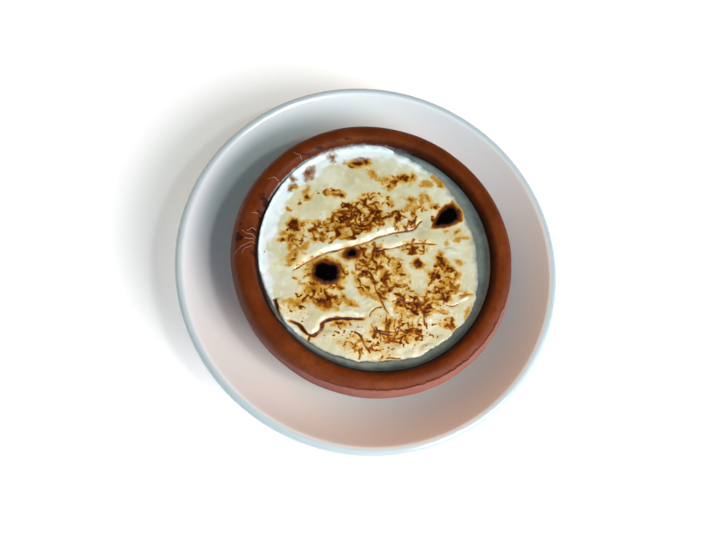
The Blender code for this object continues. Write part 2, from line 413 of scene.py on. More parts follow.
def baked_skin():
    """Cream skin: pale where thin, with a painted bluish sky reflection where wet, golden to brown where
    it caught, dark where it burnt.
    """
    skin = Surface(
        "baked_skin",
        Subsurface_Weight=0.15,
        Subsurface_Scale=1.5 * MM,
        Specular_IOR_Level=0.2,
        Coat_Weight=0.5,
        Coat_Roughness=0.10,
    )
    skin.set("Subsurface Radius", (1.0, 0.7, 0.4))
    # Brown marks, with the painted shade of the fold lines among them.
    browned_and_fold_shade = skin.attribute("browned_and_fold_shade")
    burnt = skin.attribute("burnt")
    wet_and_sheen = skin.attribute("wet_and_sheen")
    grain = skin.noise(0.55, detail=4, roughness=0.6)
    pale = skin.ramp(
        skin.noise(14, detail=2), (0.35, (0.560, 0.545, 0.330)), (0.65, (0.640, 0.665, 0.510))
    )
    warmed = skin.ramp(
        skin.noise(6, detail=3), (0.35, (0.585, 0.480, 0.180)), (0.65, (0.700, 0.650, 0.420))
    )
    cream = skin.blend(skin.attribute("warm"), pale, warmed)
    milky = skin.ranged(skin.noise(3.6, detail=2), 0.50, 0.72, 0.0, 0.45)
    cream = skin.blend(milky, cream, (0.760, 0.780, 0.680, 1))
    # Wet skin: paler, with a painted bluish sky reflection.
    cream = skin.blend(wet_and_sheen, cream, (0.760, 0.865, 0.870, 1))
    # Grey where the skin thins over the film, and painted shade along the wall where no film shows.
    cream = skin.blend(skin.attribute("thin_and_wall_shade"), cream, (0.170, 0.205, 0.205, 1))
    uneven = skin.product(skin.ranged(grain, 0.3, 0.7, 0.80, 1.18), browned_and_fold_shade)
    tan = skin.ramp(
        uneven,
        (0.0, (0.68, 0.58, 0.26)),
        (0.14, (0.60, 0.400, 0.085)),
        (0.28, (0.44, 0.205, 0.011)),
        (0.46, (0.235, 0.066, 0.002)),
        (0.68, (0.105, 0.016, 0.001)),
        (1.0, (0.035, 0.005, 0.001)),
    )
    tan = skin.blend(skin.product(wet_and_sheen, 0.75), tan, (0.150, 0.055, 0.040, 1))
    colour = skin.blend(skin.ranged(uneven, 0.00, 0.24), cream, tan)
    # Painted shade: a near-black line at the foot of the skin's edge.
    colour = skin.blend(skin.attribute("skin_edge_shade"), colour, (0.030, 0.032, 0.024, 1))
    char = skin.ramp(
        burnt,
        (0.0, (0.20, 0.055, 0.004)),
        (0.35, (0.075, 0.012, 0.001)),
        (0.75, (0.002, 0.0008, 0.0004)),
    )
    skin.set("Base Color", skin.blend(skin.ranged(burnt, 0.02, 0.40), colour, char))
    dull = skin.ranged(skin.noise(1.8, detail=4), 0.35, 0.7, 0.32, 0.48)
    skin.set("Roughness", skin.mixed(burnt, skin.mixed(wet_and_sheen, dull, 0.2), 0.8))
    pores = skin.relief(grain, 0.03)
    skin.set("Normal", skin.relief(skin.noise(3.0, detail=2, distortion=0.6), 0.26, pores))
    return skin.material


def charred_crust():
    """Black and dry, where the skin burnt through."""
    crust = Surface("charred_crust", roughness=0.9, Specular_IOR_Level=0.02)
    crust.set("Base Color", (0.0012, 0.0006, 0.0004, 1))
    crust.set("Normal", crust.relief(crust.noise(0.8, detail=3), 0.10))
    return crust.material


# ---------------------------------------------------------------- modelling by hand, in edit mode


def clean_start():
    """Leaves nothing selected, so that an operator acts on the new piece alone."""
    if bpy.context.mode != "OBJECT":
        bpy.ops.object.mode_set(mode="OBJECT")
    bpy.ops.object.select_all(action="DESELECT")


def turned(name, profile, segments):
    """A closed piece: a circle drawn out ring by ring along profile, (radius, height) in millimetres.

    The profile starts and ends with a small ring round the axis, which is filled.
    """
    clean_start()
    radius, height = profile[0]
    bpy.ops.mesh.primitive_circle_add(
        vertices=segments, radius=radius * MM, location=(0, 0, height * MM), fill_type="TRIFAN"
    )
    piece = bpy.context.object
    piece.name = piece.data.name = name
    bpy.ops.object.transform_apply(location=True, rotation=False, scale=False)
    bpy.ops.object.mode_set(mode="EDIT")
    bpy.ops.mesh.select_all(action="DESELECT")
    bpy.ops.mesh.select_mode(type="EDGE")
    bpy.ops.mesh.select_non_manifold()
    for next_radius, next_height in profile[1:]:
        bpy.ops.mesh.extrude_region_move(
            TRANSFORM_OT_translate={"value": (0, 0, (next_height - height) * MM)}
        )
        bpy.ops.transform.resize(
            value=(next_radius / radius, next_radius / radius, 1), center_override=(0, 0, 0)
        )
        radius, height = next_radius, next_height
    bpy.ops.mesh.edge_face_add()
    bpy.ops.mesh.poke()
    bpy.ops.mesh.select_all(action="SELECT")
    bpy.ops.mesh.normals_make_consistent(inside=False)
    bpy.ops.object.mode_set(mode="OBJECT")
    bpy.ops.object.shade_smooth()
    return piece


def corners_of(piece):
    """The piece's corners in millimetres, one row each."""
    found = np.empty(len(piece.data.vertices) * 3)
    piece.data.vertices.foreach_get("co", found)
    return found.reshape(-1, 3) / MM


def move_corners(piece, corners):
    piece.data.vertices.foreach_set("co", (corners * MM).ravel())
    piece.data.update()


def mark(piece, name, values):
    """A value at each corner, which the piece's material reads."""
    attribute = piece.data.attributes.new(name, "FLOAT", "POINT")
    attribute.data.foreach_set("value", np.asarray(values, np.float32))


def oval(corners):
    """Corners of a piece turned round Z, in the bowl's hand-thrown oval and its place on the saucer."""
    cos, sin = math.cos(OVAL_ANGLE), math.sin(OVAL_ANGLE)
    x, y = corners[:, 0].copy(), corners[:, 1].copy()
    along = (x * cos + y * sin) * (1 + BOWL_OVAL)
    across = (y * cos - x * sin) * (1 - BOWL_OVAL)
    corners[:, 0] = along * cos - across * sin + BOWL_CENTRE.x
    corners[:, 1] = along * sin + across * cos + BOWL_CENTRE.y
    return corners


def around(x, y):
    """Radius and angle in degrees about the bowl's centre, with the oval taken out."""
    cos, sin = math.cos(OVAL_ANGLE), math.sin(OVAL_ANGLE)
    dx, dy = x - BOWL_CENTRE.x, y - BOWL_CENTRE.y
    along = (dx * cos + dy * sin) / (1 + BOWL_OVAL)
    across = (dy * cos - dx * sin) / (1 - BOWL_OVAL)
    return np.hypot(along, across), np.degrees(np.arctan2(dy, dx))


def between(angle, table):
    """A value read from (angle, value) pairs round the whole circle, in degrees."""
    return np.interp(angle, *zip(*table), period=360)


# ---------------------------------------------------------------- the saucer


def make_saucer():
    lip = (SAUCER_RADIUS - SAUCER_LIP_RADIUS, SAUCER_HEIGHT - SAUCER_LIP_RADIUS)
    quarter = math.pi / 2
    bead = arc(lip, SAUCER_LIP_RADIUS, SAUCER_WALL_SLOPE - quarter, SAUCER_WALL_SLOPE + quarter, 12)
    foot_inside = FOOT_RADIUS - FOOT_WIDTH
    foot = [
        (1, FOOT_HEIGHT),
        (foot_inside - 1.2, FOOT_HEIGHT),
        (foot_inside - 0.4, FOOT_HEIGHT - 0.5),
        (foot_inside, 0.5),
        (foot_inside + 0.5, 0),
        (FOOT_RADIUS - 0.5, 0),
        (FOOT_RADIUS, 0.5),
        (FOOT_RADIUS + 0.4, FOOT_HEIGHT - 0.5),
    ]
    outside = flared((FOOT_RADIUS + 1.4, FOOT_HEIGHT), bead[0], SAUCER_WALL_SLOPE, 20)
    inside = flared((SAUCER_FLOOR_RADIUS, SAUCER_FLOOR), bead[-1], SAUCER_WALL_SLOPE, 24)
    profile = foot + outside + bead[1:-1] + inside[::-1] + [(20, SAUCER_FLOOR), (1, SAUCER_FLOOR)]
    saucer = turned("white_saucer", profile, 192)
    corners = corners_of(saucer)
    radius = np.hypot(corners[:, 0], corners[:, 1])
    # Where the painted cool shade of the lip lies.
    mark(saucer, "lip", ease((radius - SAUCER_RADIUS + SAUCER_LIP_SHADE_BAND) / 2))
    saucer.data.materials.append(porcelain())
    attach(saucer, "root")
    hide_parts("saucer")


# ---------------------------------------------------------------- the clay bowl

# How far below the lip's crest the glaze ends, by direction in degrees.
GLAZE_END = [
    (-180, 15), (-150, 12), (-125, 8), (-105, 5.5), (-90, 4.0), (-80, 3.2), (-70, 2.7), (-50, 2.5),
    (-22, 2.3), (2, 2.3), (15, 3.0), (30, 5), (60, 10), (120, 15),
]

# How black the milk baked on inside the lip is, with painted shade down the inner wall and where the skin
# meets it, how wide it is, and how strong the bluish-white band just above the skin is, by direction in
# degrees.
BAKED_ON_AND_SHADE = [
    (-180, 0.75), (-150, 0.85), (-135, 0.95), (-90, 0.9), (80, 0.9), (105, 0.75), (125, 0.5), (160, 0.6),
]
BAKED_AND_SHADE_WIDTH = [(-180, 1.3), (-150, 1.3), (-130, 3.2), (100, 3.2), (125, 2.0), (160, 1.6)]
BLUISH_WHITE_BAND = [(-175, 0.0), (92, 0.0), (108, 0.35), (125, 0.9), (150, 0.9), (165, 0.6)]

# Dark splashes scorched on the lip: (place, length, width, direction in degrees).
SPLASHES = [
    ((-53.2, 0.4), 4.6, 2.0, 5), ((-52.0, -0.9), 3.0, 1.8, 55), ((-55.0, 1.7), 2.2, 0.9, 30),
    ((-51.5, -7.8), 3.4, 1.4, -45), ((-53.2, -6.0), 1.6, 0.8, 20), ((-51.4, -15.0), 3.2, 1.5, -5),
    ((-55.8, -20.4), 3.2, 2.8, 30), ((-57.4, -19.2), 2.0, 1.2, 60), ((-57.0, -25.8), 2.0, 2.0, 0),
    ((-46.9, -24.0), 3.0, 1.6, -25), ((-58.0, -14.4), 1.2, 1.0, 0), ((-45.6, 27.6), 2.6, 0.9, 35),
    ((-41.0, 33.4), 3.0, 1.0, 35), ((-36.4, 38.6), 1.8, 0.7, 30), ((-31.6, 42.6), 2.4, 0.6, 25),
]

# Threads of dried milk across the lip: (direction in degrees, bend in degrees, inner and outer radius).
THREADS = [
    (186, 0.6, 52.4, 56.2), (193.5, 2.2, 52.8, 56.4), (197.0, -1.2, 52.2, 58.6), (198.6, 0.8, 52.4, 57.0),
    (200.2, 6.5, 52.2, 61.0), (202.4, 3.4, 53.6, 58.0), (166, 3.0, 53.0, 57.0), (150, 1.6, 53.2, 57.6),
]


def bowl_outside():
    """From the foot up over the lip and down to the film: coarse below, fine on the lip."""
    body = [
        (BELLY_RADIUS - 24.2, BOWL_BASE),
        (BELLY_RADIUS - 16.2, BOWL_BASE + BOWL_HEIGHT * 0.10),
        (BELLY_RADIUS - 5.0, BOWL_BASE + BOWL_HEIGHT * 0.37),
        (BELLY_RADIUS, BOWL_BASE + BOWL_HEIGHT * 0.70),
        (BELLY_RADIUS - 0.8, BOWL_TOP - 4.6),
        (BELLY_RADIUS - 2.6, BOWL_TOP - 1.1),
        (BELLY_RADIUS - 6.0, BOWL_TOP),
        (THROAT_RADIUS + 1.9, BOWL_TOP - 1.1),
        (THROAT_RADIUS, FILM_LEVEL),
    ]
    whole = curve_through(body, 15)
    return whole[:45:3] + whole[45:]


def bowl_profile():
    inside = curve_through(
        [
            (THROAT_RADIUS, FILM_LEVEL),
            (THROAT_RADIUS - 0.8, BOWL_BASE + BOWL_HEIGHT * 0.66),
            (THROAT_RADIUS - 4.0, BOWL_BASE + BOWL_HEIGHT * 0.40),
            (THROAT_RADIUS - 10.5, BOWL_BASE + BOWL_HEIGHT * 0.22),
            (THROAT_RADIUS - 22.0, BOWL_BASE + 6.8),
        ],
        2,
    )
    return [(1, BOWL_BASE), (30, BOWL_BASE)] + bowl_outside()[:-1] + inside + [(1, BOWL_BASE + 6.8)]


def make_bowl():
    bowl = turned("thrown_bowl", bowl_profile(), 800)
    corners = corners_of(bowl)
    radius = np.hypot(corners[:, 0], corners[:, 1])
    angle = np.degrees(np.arctan2(corners[:, 1], corners[:, 0]))
    height = corners[:, 2]
    outer = ease((radius - THROAT_RADIUS - 3) / 3)
    run = np.radians(angle) * BELLY_RADIUS
    level = 0 * run
    slow = 0.45 * layered_ripples(run, level, 14, 31, 2)
    ragged = slow + 0.40 * layered_ripples(run, level, 2.6, 32, 2)
    line = BOWL_TOP - between(angle, GLAZE_END) + ragged
    above = (height - line) * outer + 9 * (1 - outer)
    mark(bowl, "glazed", ease(above / 0.5 + 0.5))
    strength = np.clip(1.0 + 0.5 * layered_ripples(run, level, 8, 38, 2), 0.4, 1)
    mark(bowl, "glaze_edge", np.exp(-(((above - 0.75) / 0.50) ** 2)) * strength)
    near_edge = np.exp(-np.clip(above - 0.4, 0, None) / 1.5) * outer
    patchy = 0.75 + 0.4 * layered_ripples(run, height, 7, 39, 2)
    mark(bowl, "thin_glaze", np.clip(near_edge * patchy, 0, 1))
    # Baked-on milk and painted shade, darkest low on the inner wall.
    wide = between(angle, BAKED_AND_SHADE_WIDTH)
    inward = THROAT_RADIUS + wide - radius + 0.25 * layered_ripples(run, height, 6, 36, 2)
    mark(bowl, "baked_on_and_shade", ease(inward / (wide - 0.2)) * between(angle, BAKED_ON_AND_SHADE))
    # A bluish-white band on the upper-left inner wall, just above the skin.
    band_reach = THROAT_RADIUS + 0.6 - radius + 0.35 * layered_ripples(run, level, 3, 37)
    mark(bowl, "bluish_white_band", ease(band_reach / 0.8 + 0.5) * between(angle, BLUISH_WHITE_BAND))
    throwing = 0.10 * np.sin(height * 2 * math.pi / 2.3 + 0.4 * np.sin(np.radians(angle)))
    wobble = 0.16 * layered_ripples(run, height * 2, 24, 33)
    cut = np.exp(-(((above - 0.75) / 0.45) ** 2))
    glaze = 0.22 * ease((above - 0.2) / 0.6) - 0.20 * cut
    push = outer * (throwing * ease((BOWL_TOP - 5 - height) / 6) + glaze) + wobble
    tall = 0.12 * layered_ripples(run, radius, 30, 35) * ease((height - BOWL_TOP + 6) / 6)
    lower = ease((height - BOWL_BASE - 0.5) / 3)
    keep = radius > 31
    scale = np.where(keep, 1 + push * lower / np.maximum(radius, 1), 1)
    corners[:, 0] *= scale
    corners[:, 1] *= scale
    corners[:, 2] += np.where(keep, tall - 0.15 * ease((height - BOWL_TOP + 6) / 6), 0)
    corners = oval(corners)
    splashed = np.zeros(len(corners))
    uneven = 0.35 * layered_ripples(corners[:, 0], corners[:, 1], 1.6, 43, 2)
    for place, length, width, direction in SPLASHES:
        inside = within(corners[:, 0], corners[:, 1], place, length, width, direction)
        depth = inside * width * 0.6 + uneven
        splashed = np.maximum(splashed, ease((depth + 0.35) / 0.5))
    mark(bowl, "splashed", 0.9 * splashed * (height > BOWL_TOP - 5))
    move_corners(bowl, corners)
    bowl.data.materials.append(fired_clay())
    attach(bowl, "root")
    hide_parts("clay_bowl")


def make_threads():
    """Each thread is a fine ring drawn out along the lip, from the inside to the outside."""
    lip = bowl_outside()[60:]
    made = []
    for number, (direction, bend, inner, outer) in enumerate(THREADS):
        path = []
        for t in np.arange(15) / 14:
            radius = inner + (outer - inner) * t
            height = np.interp(radius, [r for r, _ in lip[::-1]], [h for _, h in lip[::-1]])
            turn = math.radians(direction + bend * t * t + 0.25 * math.sin(9 * t + number))
            path.append(Vector((radius * math.cos(turn), radius * math.sin(turn), height - 0.02)))
        heading = math.radians(direction)
        clean_start()
        bpy.ops.mesh.primitive_circle_add(
            vertices=8, radius=0.10 * MM, location=path[0] * MM, fill_type="NGON",
            rotation=(math.pi / 2, 0, heading + math.pi / 2)
        )
        thread = bpy.context.object
        bpy.ops.object.transform_apply(location=True, rotation=True, scale=False)
        bpy.ops.object.mode_set(mode="EDIT")
        bpy.ops.mesh.select_mode(type="FACE")
        bpy.ops.mesh.select_all(action="SELECT")
        for near, far in zip(path, path[1:]):
            bpy.ops.mesh.extrude_region_move(TRANSFORM_OT_translate={"value": (far - near) * MM})
        bpy.ops.mesh.select_all(action="SELECT")
        bpy.ops.mesh.normals_make_consistent(inside=False)
        bpy.ops.object.mode_set(mode="OBJECT")
        bpy.ops.object.shade_smooth()
        made.append(thread)
    clean_start()
    for thread in made:
        thread.select_set(True)
    bpy.context.view_layer.objects.active = made[0]
    bpy.ops.object.join()
    threads = bpy.context.object
    threads.name = threads.data.name = "milk_threads"
    move_corners(threads, oval(corners_of(threads)))
    threads.data.materials.append(dried_milk())
    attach(threads, "root")


# ---------------------------------------------------------------- the pudding

# The strip of milk film that shows between the skin and the wall, by direction in degrees.
FILM_WIDTH = [
    (-180, -3), (-158, -2), (-145, 0.3), (-118, 0.8), (-100, 1.7), (-90, 2.0), (-84, 2.8), (-77, 2.4),
    (-68, 3.4), (-60, 4.0), (-52, 3.0), (-44, 2.5), (-35, 3.2), (-29, 2.7), (-20, 3.5), (-15, 2.4),
    (-4, 2.6), (4, 3.6), (12, 4.4), (22, 5.0), (34, 5.0), (46, 5.0), (56, 4.0), (66, 3.0), (76, 1.8),
    (88, 1.2), (100, 0.4), (115, -2), (140, -3),
]

# How pale the film is beside the skin, and how scorched along the wall, by direction in degrees.
FILM_PALE = [(-140, 0), (-112, 0.9), (-75, 0.8), (-45, 0.7), (-10, 0.35), (30, 0.6), (80, 0.9), (110, 0)]
FILM_SCORCHED = [(-125, 0.95), (-95, 0.35), (-70, 0), (95, 0), (125, 0.95)]

# How wide the skin's edge is where it thins out and the milk shows through, by direction in degrees.
THIN_WIDTH = [
    (-180, 2.6), (-140, 2.4), (-115, 1.8), (-90, 1.6), (-20, 1.2), (0, 1.8), (20, 3.6), (60, 4.4),
    (90, 4.4), (110, 2.0), (150, 1.6),
]

# How far short of the wall the skin stops, by direction in degrees.
WALL_GAP = [(-180, 0.35), (95, 0.35), (110, -0.9), (150, -0.9), (168, 0.0)]

# The skin is thin, pale and wet along the wall here, with a painted bluish sky reflection: its width by
# direction in degrees.
WET_WIDTH = [
    (-180, 7.5), (-150, 6.5), (-125, 3.0), (-110, 0.5), (60, 1.0), (80, 5.0), (100, 7.0), (125, 7.0),
    (150, 7.5),
]


def make_film():
    wall = THROAT_RADIUS + 0.15
    rise = [(wall - 4 * (1 - t), FILM_LEVEL + MENISCUS * t**4) for t in np.arange(13) / 12]
    top = [(1, FILM_LEVEL), (25, FILM_LEVEL), (40, FILM_LEVEL), *rise]
    sides = curve_through(
        [
            (wall, FILM_LEVEL),
            (wall - 0.8, BOWL_BASE + BOWL_HEIGHT * 0.66),
            (wall - 4.0, BOWL_BASE + BOWL_HEIGHT * 0.40),
            (wall - 10.5, BOWL_BASE + BOWL_HEIGHT * 0.22),
            (wall - 22.0, PUDDING_FLOOR),
        ],
        3,
    )
    film = turned("milk_film", (top + sides + [(1, PUDDING_FLOOR)])[::-1], 256)
    corners = corners_of(film)
    uneven = 0.10 * layered_ripples(corners[:, 0], corners[:, 1], 9, 41)
    near_top = ease((corners[:, 2] - FILM_LEVEL + 0.5) / 0.5)
    corners[:, 2] += uneven * near_top
    radius = np.hypot(corners[:, 0], corners[:, 1])
    angle = np.degrees(np.arctan2(corners[:, 1], corners[:, 0]))
    gap = 0.3 + 0.8 * between(angle, FILM_WIDTH)
    out = (THROAT_RADIUS - radius + 0.6 * layered_ripples(corners[:, 0], corners[:, 1], 5, 42)) / gap
    mark(film, "paler_film", ease(out) * between(angle, FILM_PALE))
    mark(film, "scorched", between(angle, FILM_SCORCHED))
    move_corners(film, oval(corners))
    film.data.materials.append(milk())
    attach(film, "root")
    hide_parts("pudding")


# Folds: (points along the fold, how far the skin stands up behind it, how wide that ridge is,
# how deep the groove is, how dark its line is, how wide the line is). Behind is to the left, going
# along it.
FOLDS = [
    ([(-29.8, -24.6), (-27.5, -21), (-23, -14), (-16.4, -7.5), (-7.5, -0.2), (-0.2, 7.2), (7.5, 13.3),
      (11.6, 16), (13.3, 20.6), (14.9, 22.6)], 0.95, 2.8, 0.45, 0.8, 0.32),
    ([(-2, -1), (3.7, 2.5), (10.6, 7.9), (14, 10.2), (19, 12.2), (25.2, 15.4)],
     0.60, 2.4, 0.30, 0.65, 0.36),
    # The overlap edge: its dark line is browned skin and painted shade under the upper skin.
    ([(-24, -44.8), (-18, -44.0), (-12.6, -46.3), (-9.6, -45.6), (-7.9, -42), (-8.0, -39), (-5.8, -36.3),
      (-0.2, -33.5), (4, -32), (8.6, -30.0)], 0.95, 2.8, 0.60, 1.3, 0.66),
    # The lifted flap by the wall: its dark line is painted shade in the gap under it.
    ([(-31.6, -38.0), (-28.8, -41.2), (-26.2, -44.0), (-24.2, -46.4)], 1.60, 0.9, 1.1, 1.2, 0.60),
    ([(-11.2, -46.2), (-10.6, -50)], 0.3, 1.2, 0.3, 0.9, 0.5),
    ([(9, -29), (9.1, -26), (10.4, -23.6), (12.8, -22.2)], 0.15, 1.2, 0.15, 0.75, 0.34),
    ([(-5.5, -12.2), (-0.2, -10.2), (3.5, -11.5), (7.2, -16.4), (12.2, -21), (17.4, -24.9)],
     0.4, 1.3, 0.25, 0.7, 0.36),
    ([(14.8, -19.5), (16.5, -17.2), (20, -16.6), (25.6, -14), (28.4, -16), (31, -19.6), (32.5, -23)],
     0.5, 1.4, 0.25, 0.65, 0.36),
    ([(10.3, -31.0), (13.5, -33), (18, -33), (21.6, -31.6)], 0.35, 1.2, 0.22, 0.85, 0.34),
    ([(5.2, -37.4), (8.5, -38), (12, -41), (15.6, -43.3)], 0.45, 1.2, 0.28, 0.85, 0.40),
    ([(10.2, -43.6), (11.7, -45.6), (12, -48)], 0.3, 1.0, 0.2, 0.8, 0.36),
    ([(22.3, -42.2), (28.2, -40.2)], 0.35, 1.0, 0.2, 0.8, 0.32),
    ([(37.6, -9.8), (40.4, -9.2), (42.7, -7)], 0.25, 0.9, 0.15, 0.6, 0.26),
    ([(33.8, -13.6), (37, -13.9), (40, -13)], 0.2, 0.8, 0.12, 0.5, 0.26),
    ([(41.6, -3.4), (46.3, -0.6)], 0.45, 1.0, 0.15, 0.5, 0.26),
]

# Burns: (place, length, width, direction in degrees, how much narrower the far end is, width of
# the halo).
BURNS = [
    ((23.6, 28.2), 14.8, 8.0, 60, -0.42, 1.8),
    ((-15.6, -18.0), 12.4, 10.0, 15, 0.0, 4.6),
    ((-9.2, -5.4), 7.0, 4.6, 32, 0.0, 3.0),
]

# Brown spots: (place, length, width, direction in degrees, tone from 0 to 1).
SPOTS = [
    ((20.0, 2.4), 6.0, 4.4, 20, 0.82), ((29.2, 0.6), 3.8, 3.2, 0, 1.0), ((26.0, 0.8), 2.4, 1.6, 0, 0.7),
    ((29.5, 7.6), 8.5, 3.8, -25, 0.95), ((27.2, 10.4), 3.0, 2.6, 60, 0.8),
    ((34.4, 6.2), 6.6, 1.7, -8, 0.85), ((37.2, 4.0), 3.2, 1.6, -70, 0.8),
    ((35.0, 1.4), 4.2, 1.5, 60, 0.55), ((33.3, -1.6), 4.6, 1.5, 65, 0.5),
    ((36.2, 11.2), 2.2, 1.7, 0, 0.75), ((30.6, 24.2), 2.0, 1.1, 70, 0.85),
    ((25.8, 22.2), 1.4, 0.9, 0, 0.6), ((32.4, 21.0), 3.4, 0.9, 30, 0.6), ((27.7, 17.4), 1.8, 1.6, 0, 0.6),
    ((17.2, 31.0), 2.4, 1.7, 0, 0.85), ((20.8, 31.8), 1.7, 1.2, 0, 0.8),
    ((12.0, 33.2), 3.8, 1.8, -25, 0.45), ((10.2, 31.4), 1.7, 3.4, 20, 0.42),
    ((-37.0, -4.2), 5.6, 6.6, 20, 0.88), ((-34.2, -2.0), 4.4, 1.9, 45, 0.60),
    ((-39.2, -9.0), 3.4, 1.6, 60, 0.6), ((-38.8, -12.4), 2.6, 2.0, 0, 0.9),
    ((-32.6, -16.2), 5.6, 1.5, 62, 0.72), ((-31.6, -20), 3.6, 1.4, 60, 0.5),
    ((-28.5, -11.0), 4.4, 1.8, 60, 0.45), ((-36.4, -9.6), 2.0, 4.2, -20, 0.6),
    ((-34.6, -13.4), 1.4, 3.4, 15, 0.55), ((-22.4, 35.6), 6.4, 3.6, 28, 0.80),
    ((-19.6, 37.6), 3.2, 3.4, -40, 0.85), ((-25.6, 33.6), 3.6, 1.6, 10, 0.6),
    ((-0.4, 38.0), 5.6, 3.6, 10, 0.90), ((2.2, 38.8), 2.6, 3.8, 0, 0.80),
    ((-3.0, 34.4), 6.8, 2.4, 48, 0.82), ((-5.4, 31.0), 2.4, 2.2, 60, 0.80),
    ((-8.6, 32.6), 6.6, 1.9, 12, 0.55), ((-14.0, 33.4), 4.8, 2.0, -15, 0.45),
    ((-37.4, 10.2), 3.0, 2.6, 20, 0.88), ((-38.4, 13.6), 4.2, 1.5, 85, 0.45),
    ((-35.6, 12.2), 2.2, 1.5, 0, 0.35), ((-26.8, 16.8), 5.6, 2.0, 14, 0.78),
    ((-23.6, 17.6), 2.8, 2.4, 0, 0.85), ((-30.4, 18.4), 2.2, 1.2, -60, 0.4),
    ((-34.2, 33.2), 3.0, 4.6, 20, 0.62), ((-40.8, 21.4), 3.6, 5.6, -10, 0.60),
    ((-46.6, 16.0), 3.2, 2.2, -30, 0.66), ((-44.6, 12.2), 3.6, 2.0, 70, 0.60),
    ((-42.2, 1.6), 4.2, 2.4, 10, 0.34), ((-2.2, -36.6), 5.4, 2.2, 12, 0.95),
    ((-12.2, -31.2), 4.8, 2.0, -6, 0.72), ((-10.0, -32.0), 9.0, 3.6, 8, 0.42),
    ((-23.0, -36.0), 7.0, 1.7, 25, 0.45), ((-4.6, -25.2), 4.6, 1.6, -32, 0.78),
    ((-0.4, -26.6), 4.6, 2.0, 6, 0.50), ((-17.4, -26.6), 7.0, 3.2, 25, 0.42),
    ((42.9, -18.2), 5.6, 2.2, 12, 0.60), ((48.0, -9.4), 1.8, 4.6, 0, 0.62),
    ((18.4, -17.4), 3.6, 2.4, 40, 0.80), ((36.2, -13.8), 4.6, 0.9, 14, 0.62),
    ((13.6, 43.4), 10, 6.4, -30, 0.34), ((9.6, 39.6), 4.6, 1.9, 20, 0.42),
    ((6.0, -19.8), 7.0, 1.6, 0, 0.55), ((28.7, -7.5), 1.9, 1.5, 0, 0.85),
    ((33.3, -4.0), 2.6, 2.0, 30, 0.85), ((36.8, -3.3), 2.4, 1.7, 0, 0.85),
    ((39.8, -2.3), 2.2, 1.2, 20, 0.70), ((34.5, -7.2), 2.4, 1.7, 20, 0.80),
    ((31.8, -9.5), 2.2, 1.6, 0, 0.75), ((29.8, -11.4), 1.8, 1.3, 0, 0.70),
    ((33.7, -11.4), 2.0, 1.3, 0, 0.70), ((37.6, -6.2), 1.8, 1.2, 0, 0.70),
    ((44.5, -1.7), 3.0, 0.8, 30, 0.65), ((6.4, 27.0), 4.8, 1.6, 70, 0.60),
    ((9.0, 24.6), 4.8, 1.6, 110, 0.66), ((5.0, 29.4), 3.8, 1.4, 20, 0.50),
]

# Mottled zones: (place, length, width, direction in degrees, share that is golden, share that is brown).
ZONES = [
    ((-12.5, 11.5), 34, 21, 22, 0.98, 0.46), ((-8.0, 22.0), 26, 11, 12, 0.82, 0.40),
    ((5.0, 18.5), 21, 15, 25, 0.78, 0.36), ((-15.5, 4.0), 18, 15, 30, 0.98, 0.40),
    ((16.0, 9.5), 22, 11, 35, 0.70, 0.22), ((-24.0, -1.0), 26, 16, 35, 0.78, 0.20),
    ((-35.0, -7.0), 12, 23, 20, 0.74, 0.34), ((0.0, -4.0), 26, 20, 30, 0.94, 0.24),
    ((-16.0, -19.0), 28, 24, 20, 0.84, 0.22), ((-14.0, -30.0), 28, 12, 12, 0.95, 0.30),
    ((4.0, -14.0), 26, 16, -10, 0.88, 0.20), ((8.0, -8.0), 36, 26, -30, 0.84, 0.16),
    ((33.0, -1.0), 20, 27, 10, 0.72, 0.42), ((24.0, -16.0), 26, 18, 15, 0.86, 0.38),
    ((22.0, -30.0), 34, 17, 20, 0.80, 0.34), ((12.0, -42.0), 36, 12, 5, 0.58, 0.38),
    ((-4.0, 34.5), 15, 9, 20, 0.60, 0.24), ((-22.5, 35.0), 13, 8, 20, 0.50, 0.16),
    ((12.0, 30.0), 14, 10, 60, 0.55, 0.14), ((19.0, 27.5), 8, 14, 20, 0.60, 0.36),
    ((-27.0, -21.0), 11, 26, 25, 0.50, 0.06), ((-40.0, 4.0), 9, 16, 0, 0.34, 0.02),
    ((-37.0, 12.0), 9, 7, 0, 0.44, 0.14), ((-27.0, 17.5), 14, 8, 15, 0.46, 0.18),
    ((-22.0, -39.0), 16, 9, 10, 0.50, 0.10), ((42.0, -17.0), 9, 9, 0, 0.60, 0.44),
]

# Where fine brown specks lie: (place, length, width, direction in degrees, how dense).
SPECKLED = [
    ((25.0, -28.0), 38, 26, 35, 0.95), ((8.0, -40.0), 36, 18, 0, 0.90), ((-16.0, -40.0), 22, 10, 0, 0.70),
    ((34.0, -9.0), 20, 18, 30, 0.65), ((-33.0, 13.0), 18, 14, 0, 0.30), ((15.0, 9.5), 22, 7, 38, 0.45),
    ((-40.0, -20.0), 26, 12, -60, 0.28), ((-6.0, 14.0), 44, 26, 12, 0.35),
    ((4.0, -6.0), 36, 22, 10, 0.40),
]

# Where the skin bulges: (place, length, width, direction in degrees, height).
BUBBLES = [
    ((37.0, -31.5), 9, 5.5, 48, 0.75), ((31.5, -36.5), 7, 4, 35, 0.45), ((41.0, -25.0), 6, 4, 60, 0.4),
    ((-3.5, -42.5), 8, 4, 10, 0.4), ((17.0, -42.5), 8, 4, 15, 0.45), ((24.5, -37.0), 7, 3.5, 20, 0.4),
    ((44.0, -3.5), 7, 2.4, 52, 0.5), ((-22.0, -30.0), 12, 6, 20, 0.3), ((1.5, -30.0), 9, 4, 15, 0.35),
    ((31.0, 14.5), 9, 3.2, 15, 0.35), ((-38.0, -24.0), 14, 6, -60, 0.3), ((6.0, -22.5), 7, 5, 60, 0.3),
]


